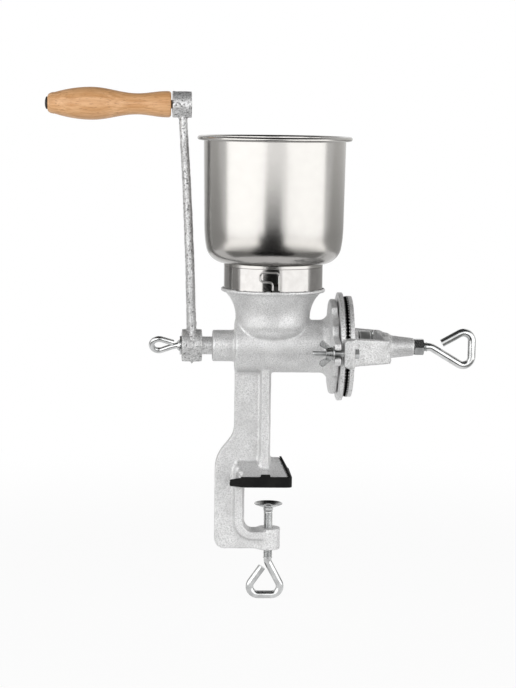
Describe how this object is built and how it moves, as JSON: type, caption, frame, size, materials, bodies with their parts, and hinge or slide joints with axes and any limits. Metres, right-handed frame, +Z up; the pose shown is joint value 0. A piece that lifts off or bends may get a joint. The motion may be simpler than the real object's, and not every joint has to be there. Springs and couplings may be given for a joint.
{
  "type": "hand grain mill",
  "caption": "Hand-cranked grain mill with a steel hopper, a worm-fed pair of toothed plates in a cast body and a screw clamp for a table edge.",
  "frame": {"origin": "middle of the rubber jaw pad's underside, on the clamp screw's axis", "axes": "+Z up, +X along the main shaft away from the crank, -Y towards the picture's viewer"},
  "size_m": [0.367, 0.1306, 0.4358],
  "materials": {
    "tinned_iron": "tinned, as cast",
    "plate_iron": "tinned, ground teeth",
    "zinc_steel": "bright zinc plate",
    "satin_steel": "satin",
    "polished_steel": "mirror polish",
    "beech": "turned and lacquered",
    "black_rubber": "moulded"
  },
  "bodies": {
    "frame": {"mill_body": "tinned_iron", "clamp_pad": "black_rubber", "stationary_plate": "plate_iron", "yoke": "tinned_iron", "yoke_bolts": "zinc_steel"},
    "ball": {"thrust_ball": "zinc_steel"},
    "rotor": {"auger": "plate_iron", "rotating_plate": "plate_iron", "drive_collar": "zinc_steel", "cotter_pin": "zinc_steel", "crank_arm": "tinned_iron", "handle_spindle": "zinc_steel"},
    "grip": {"wood_handle": "beech"},
    "thumb_washer": {"crank_washer": "zinc_steel"},
    "thumb_screw": {"crank_thumb_screw": "zinc_steel"},
    "adjuster": {"adjusting_screw": "zinc_steel"},
    "jam_nut": {"lock_nut": "zinc_steel"},
    "cup": {"clamp_cup": "zinc_steel"},
    "vice_screw": {"clamp_screw": "zinc_steel"},
    "washer_front": {"front_washer": "zinc_steel"},
    "nut_front": {"front_wing_nut": "zinc_steel"},
    "washer_rear": {"rear_washer": "zinc_steel"},
    "nut_rear": {"rear_wing_nut": "zinc_steel"},
    "hopper": {"hopper_bowl": "satin_steel", "hopper_collar": "polished_steel"}
  },
  "joints": [
    {"name": "shaft_slide", "type": "slide", "parent": "frame", "child": "ball", "axis": [1, 0, 0], "range_m": [-0.0008, 0.0015]},
    {"name": "adjuster_turn", "type": "hinge", "parent": "ball", "child": "adjuster", "pos_m": [0.12, 0, 0.118], "axis": [1, 0, 0], "range_deg": [-231, 433]},
    {"name": "crank_turn", "type": "hinge", "parent": "ball", "child": "rotor", "pos_m": [0, 0, 0.118], "axis": [1, 0, 0], "continuous": true},
    {"name": "grip_turn", "type": "hinge", "parent": "rotor", "child": "grip", "pos_m": [-0.137, 0, 0.321], "axis": [1, 0, 0], "continuous": true},
    {"name": "thumb_washer_slide", "type": "slide", "parent": "rotor", "child": "thumb_washer", "axis": [1, 0, 0], "range_m": [-0.009, 0]},
    {"name": "thumb_screw_turn", "type": "hinge", "parent": "thumb_washer", "child": "thumb_screw", "pos_m": [-0.08, 0, 0.118], "axis": [1, 0, 0], "range_deg": [-3241, 0]},
    {"name": "lock_nut_turn", "type": "hinge", "parent": "frame", "child": "jam_nut", "pos_m": [0.123, 0, 0.118], "axis": [1, 0, 0], "range_deg": [0, 90]},
    {"name": "cup_slide", "type": "slide", "parent": "frame", "child": "cup", "axis": [0, 0, 1], "range_m": [-0.0142, 0.008]},
    {"name": "clamp_turn", "type": "hinge", "parent": "cup", "child": "vice_screw", "pos_m": [0, 0, -0.045], "axis": [0, 0, 1], "range_deg": [-4090, 2305]},
    {"name": "front_washer_slide", "type": "slide", "parent": "frame", "child": "washer_front", "axis": [1, 0, 0], "range_m": [-0.0081, 0]},
    {"name": "front_nut_turn", "type": "hinge", "parent": "washer_front", "child": "nut_front", "pos_m": [0.045, -0.0525, 0.118], "axis": [1, 0, 0], "range_deg": [-3646, 0]},
    {"name": "rear_washer_slide", "type": "slide", "parent": "frame", "child": "washer_rear", "axis": [1, 0, 0], "range_m": [-0.0081, 0]},
    {"name": "rear_nut_turn", "type": "hinge", "parent": "washer_rear", "child": "nut_rear", "pos_m": [0.045, 0.0525, 0.118], "axis": [1, 0, 0], "range_deg": [-3646, 0]},
    {"name": "hopper_lift", "type": "slide", "parent": "frame", "child": "hopper", "axis": [0, 0, 1], "range_m": [0, 0.12]}
  ],
  "couplings": [
    {"joint": "adjuster_turn", "follows": "shaft_slide", "rad_per_m": 5026.5},
    {"joint": "thumb_screw_turn", "follows": "thumb_washer_slide", "rad_per_m": 6283.2},
    {"joint": "clamp_turn", "follows": "cup_slide", "rad_per_m": 5026.5},
    {"joint": "front_nut_turn", "follows": "front_washer_slide", "rad_per_m": 7854},
    {"joint": "rear_nut_turn", "follows": "rear_washer_slide", "rad_per_m": 7854}
  ]
}
